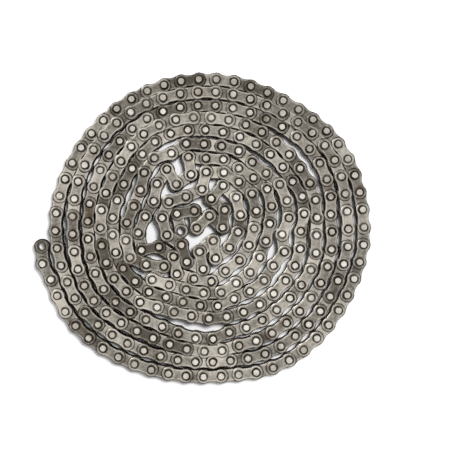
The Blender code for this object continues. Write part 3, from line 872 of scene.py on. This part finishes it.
def steel_material(name, light, dark, finish, roughness):
    """A steel material whose surface group is linked; gives it, its tree and the group node."""
    material = bpy.data.materials.new(name)
    material.use_nodes = True
    tree = material.node_tree
    shader = tree.nodes["Principled BSDF"]
    shader.inputs["Metallic"].default_value = 1.0
    surface = tree.nodes.new("ShaderNodeGroup")
    surface.node_tree = steel_group()
    surface.inputs["Light"].default_value = (*light, 1)
    surface.inputs["Dark"].default_value = (*dark, 1)
    surface.inputs["Oil"].default_value = (*finish.oil, 1)
    surface.inputs["Stain"].default_value = (*finish.stain, 1)
    surface.inputs["Roughness"].default_value = roughness
    tree.links.new(surface.outputs["Color"], shader.inputs["Base Color"])
    tree.links.new(surface.outputs["Roughness"], shader.inputs["Roughness"])
    tree.links.new(surface.outputs["Normal"], shader.inputs["Normal"])
    return material, tree, surface


def plate_material(name, finish, oil_shade_ring_size, outline):
    """Plate steel with a dark ring where the next part touches it and a thin dark line at the
    edge, both partly oil and partly painted shade, and a bright band inside the edge, partly wear
    and partly a painted highlight.
    """
    material, tree, surface = steel_material(
        name, finish.plate_light, finish.plate_dark, finish, finish.gloss)
    marks = tree.nodes.new("ShaderNodeGroup")
    marks.node_tree = marks_group()
    marks.inputs["Radius"].default_value = oil_shade_ring_size[0]
    marks.inputs["Width"].default_value = oil_shade_ring_size[1]
    marks.inputs["Lobe"].default_value = outline[0] / MM / PITCH
    marks.inputs["Waist"].default_value = outline[1] / MM / PITCH
    # The ring darkens the plate where the pin or the outer plate's rim meets it: partly oil,
    # partly painted shade.
    patch = add_range(tree, add_noise(tree, 90.0, 3.0), 0.30, 0.60, 0.75, 1.0)
    oil_and_shade_ring = add_math(tree, "MULTIPLY", marks.outputs["Ring"], patch)
    edge = marks.outputs["Edge"]
    # The thin dark line along the plate's edge is partly oil and partly painted shade for the gap
    # beside it.
    oil_and_shade_rim = add_range(tree, edge, OIL_SHADE_RIM[0] / PITCH, OIL_SHADE_RIM[1] / PITCH, 0.9, 0.0)
    tree.links.new(add_math(tree, "MAXIMUM", oil_and_shade_ring, oil_and_shade_rim), surface.inputs["Oil Mask"])
    # The bright band inside the edge is partly wear and partly a painted highlight along the edge.
    wear_and_highlight = add_range(tree, edge, WORN_HIGHLIGHT_RIM[0] / PITCH, WORN_HIGHLIGHT_RIM[1] / PITCH, 1.0, 0.0)
    tree.links.new(wear_and_highlight, surface.inputs["Worn Mask"])
    return material


def pin_material(finish):
    """Bright pin ends whose chamfer gets the oil colour, partly oil and partly painted shade."""
    return steel_material("pin_end_steel", finish.pin_light, finish.pin_dark, finish, 0.26)[0]


def bushing_material(finish):
    """Dark oiled bushings, their dark steel partly oil and partly painted shade for the inside of
    the heap.
    """
    dark = tuple(0.6 * part for part in finish.plate_dark)
    return steel_material("bushing_dark_steel", finish.plate_dark, dark, finish, 0.38)[0]


class CHAIN_OT_stage(bpy.types.Operator):
    """Lays the pale floor and sets the soft light and the camera above the heap"""

    bl_idname = "chain.stage"
    bl_label = "Stage"

    def execute(self, context):
        stage = context.scene.chain_stage
        clear_selection()
        bpy.ops.mesh.primitive_plane_add(size=4.0, location=(0, 0, -0.15 * MM))
        floor = bpy.context.object
        floor.name = "floor"
        paper = bpy.data.materials.new("white_paper")
        paper.use_nodes = True
        shader = paper.node_tree.nodes["Principled BSDF"]
        shader.inputs["Base Color"].default_value = (*stage.floor_colour, 1)
        shader.inputs["Roughness"].default_value = 0.9
        shader.inputs["Specular IOR Level"].default_value = 0.1
        floor.data.materials.append(paper)
        world = bpy.data.worlds.new("soft_surround")
        world.use_nodes = True
        world.node_tree.nodes["Background"].inputs["Color"].default_value = (1, 1, 1, 1)
        world.node_tree.nodes["Background"].inputs["Strength"].default_value = stage.sky
        context.scene.world = world
        self.add_light("key", (-0.65, 0.65, 0.85), (0.5, 0.5), stage.key_power)
        self.add_light("overhead", (-0.03, -0.04, 1.1), (0.45, 0.45), stage.overhead_power)
        lamp = self.add_light("floor_lamp", (0.2, 0.16, 1.2), (0.2, 0.2), stage.floor_power)
        lamp.visible_glossy = False
        self.add_camera(context, stage)
        context.scene.view_settings.view_transform = "Standard"
        return {"FINISHED"}

    def add_light(self, name, place, size, power):
        """A large soft light that looks at the heap."""
        light = bpy.data.lights.new(name, "AREA")
        light.shape = "RECTANGLE"
        light.size, light.size_y = size
        light.energy = power
        item = bpy.data.objects.new(name, light)
        item.location = place
        item.rotation_euler = (-Vector(place)).to_track_quat("-Z", "Y").to_euler()
        bpy.context.scene.collection.objects.link(item)
        return item

    def add_camera(self, context, stage):
        """A camera straight above the middle of the picture."""
        camera = bpy.data.cameras.new("camera")
        camera.sensor_width = 36.0
        camera.lens = stage.lens
        item = bpy.data.objects.new("camera", camera)
        item.location = (12.1 * MM, 1.7 * MM, stage.camera_height)
        context.scene.collection.objects.link(item)
        context.scene.camera = item


class CHAIN_PT_panel(bpy.types.Panel):
    """Lists the steps that dress the chain"""

    bl_idname = "CHAIN_PT_panel"
    bl_label = "Coiled Roller Chain"
    bl_space_type = "VIEW_3D"
    bl_region_type = "UI"
    bl_category = "Chain"

    def draw(self, context):
        for step in STEPS:
            self.layout.operator(step.bl_idname)
        for group in (context.scene.chain_sizes, context.scene.chain_finish,
                      context.scene.chain_stage):
            for name in group.__annotations__:
                self.layout.prop(group, name)


STEPS = (CHAIN_OT_inner_plates, CHAIN_OT_outer_plates, CHAIN_OT_bushings, CHAIN_OT_pins,
         CHAIN_OT_stage)
CLASSES = (ChainSizes, ChainFinish, ChainStage, *STEPS, CHAIN_PT_panel)


def register():
    """Registers the classes and hangs the settings on the scene."""
    for item in CLASSES:
        bpy.utils.register_class(item)
    bpy.types.Scene.chain_sizes = PointerProperty(type=ChainSizes)
    bpy.types.Scene.chain_finish = PointerProperty(type=ChainFinish)
    bpy.types.Scene.chain_stage = PointerProperty(type=ChainStage)


def unregister():
    """Takes the settings and the classes away again."""
    del bpy.types.Scene.chain_sizes, bpy.types.Scene.chain_finish, bpy.types.Scene.chain_stage
    for item in reversed(CLASSES):
        bpy.utils.unregister_class(item)


def main():
    """Builds everything in order."""
    register()
    bpy.ops.chain.inner_plates()
    bpy.ops.chain.outer_plates()
    bpy.ops.chain.bushings()
    bpy.ops.chain.pins()
    bpy.ops.chain.stage()


if __name__ == "__main__":
    main()
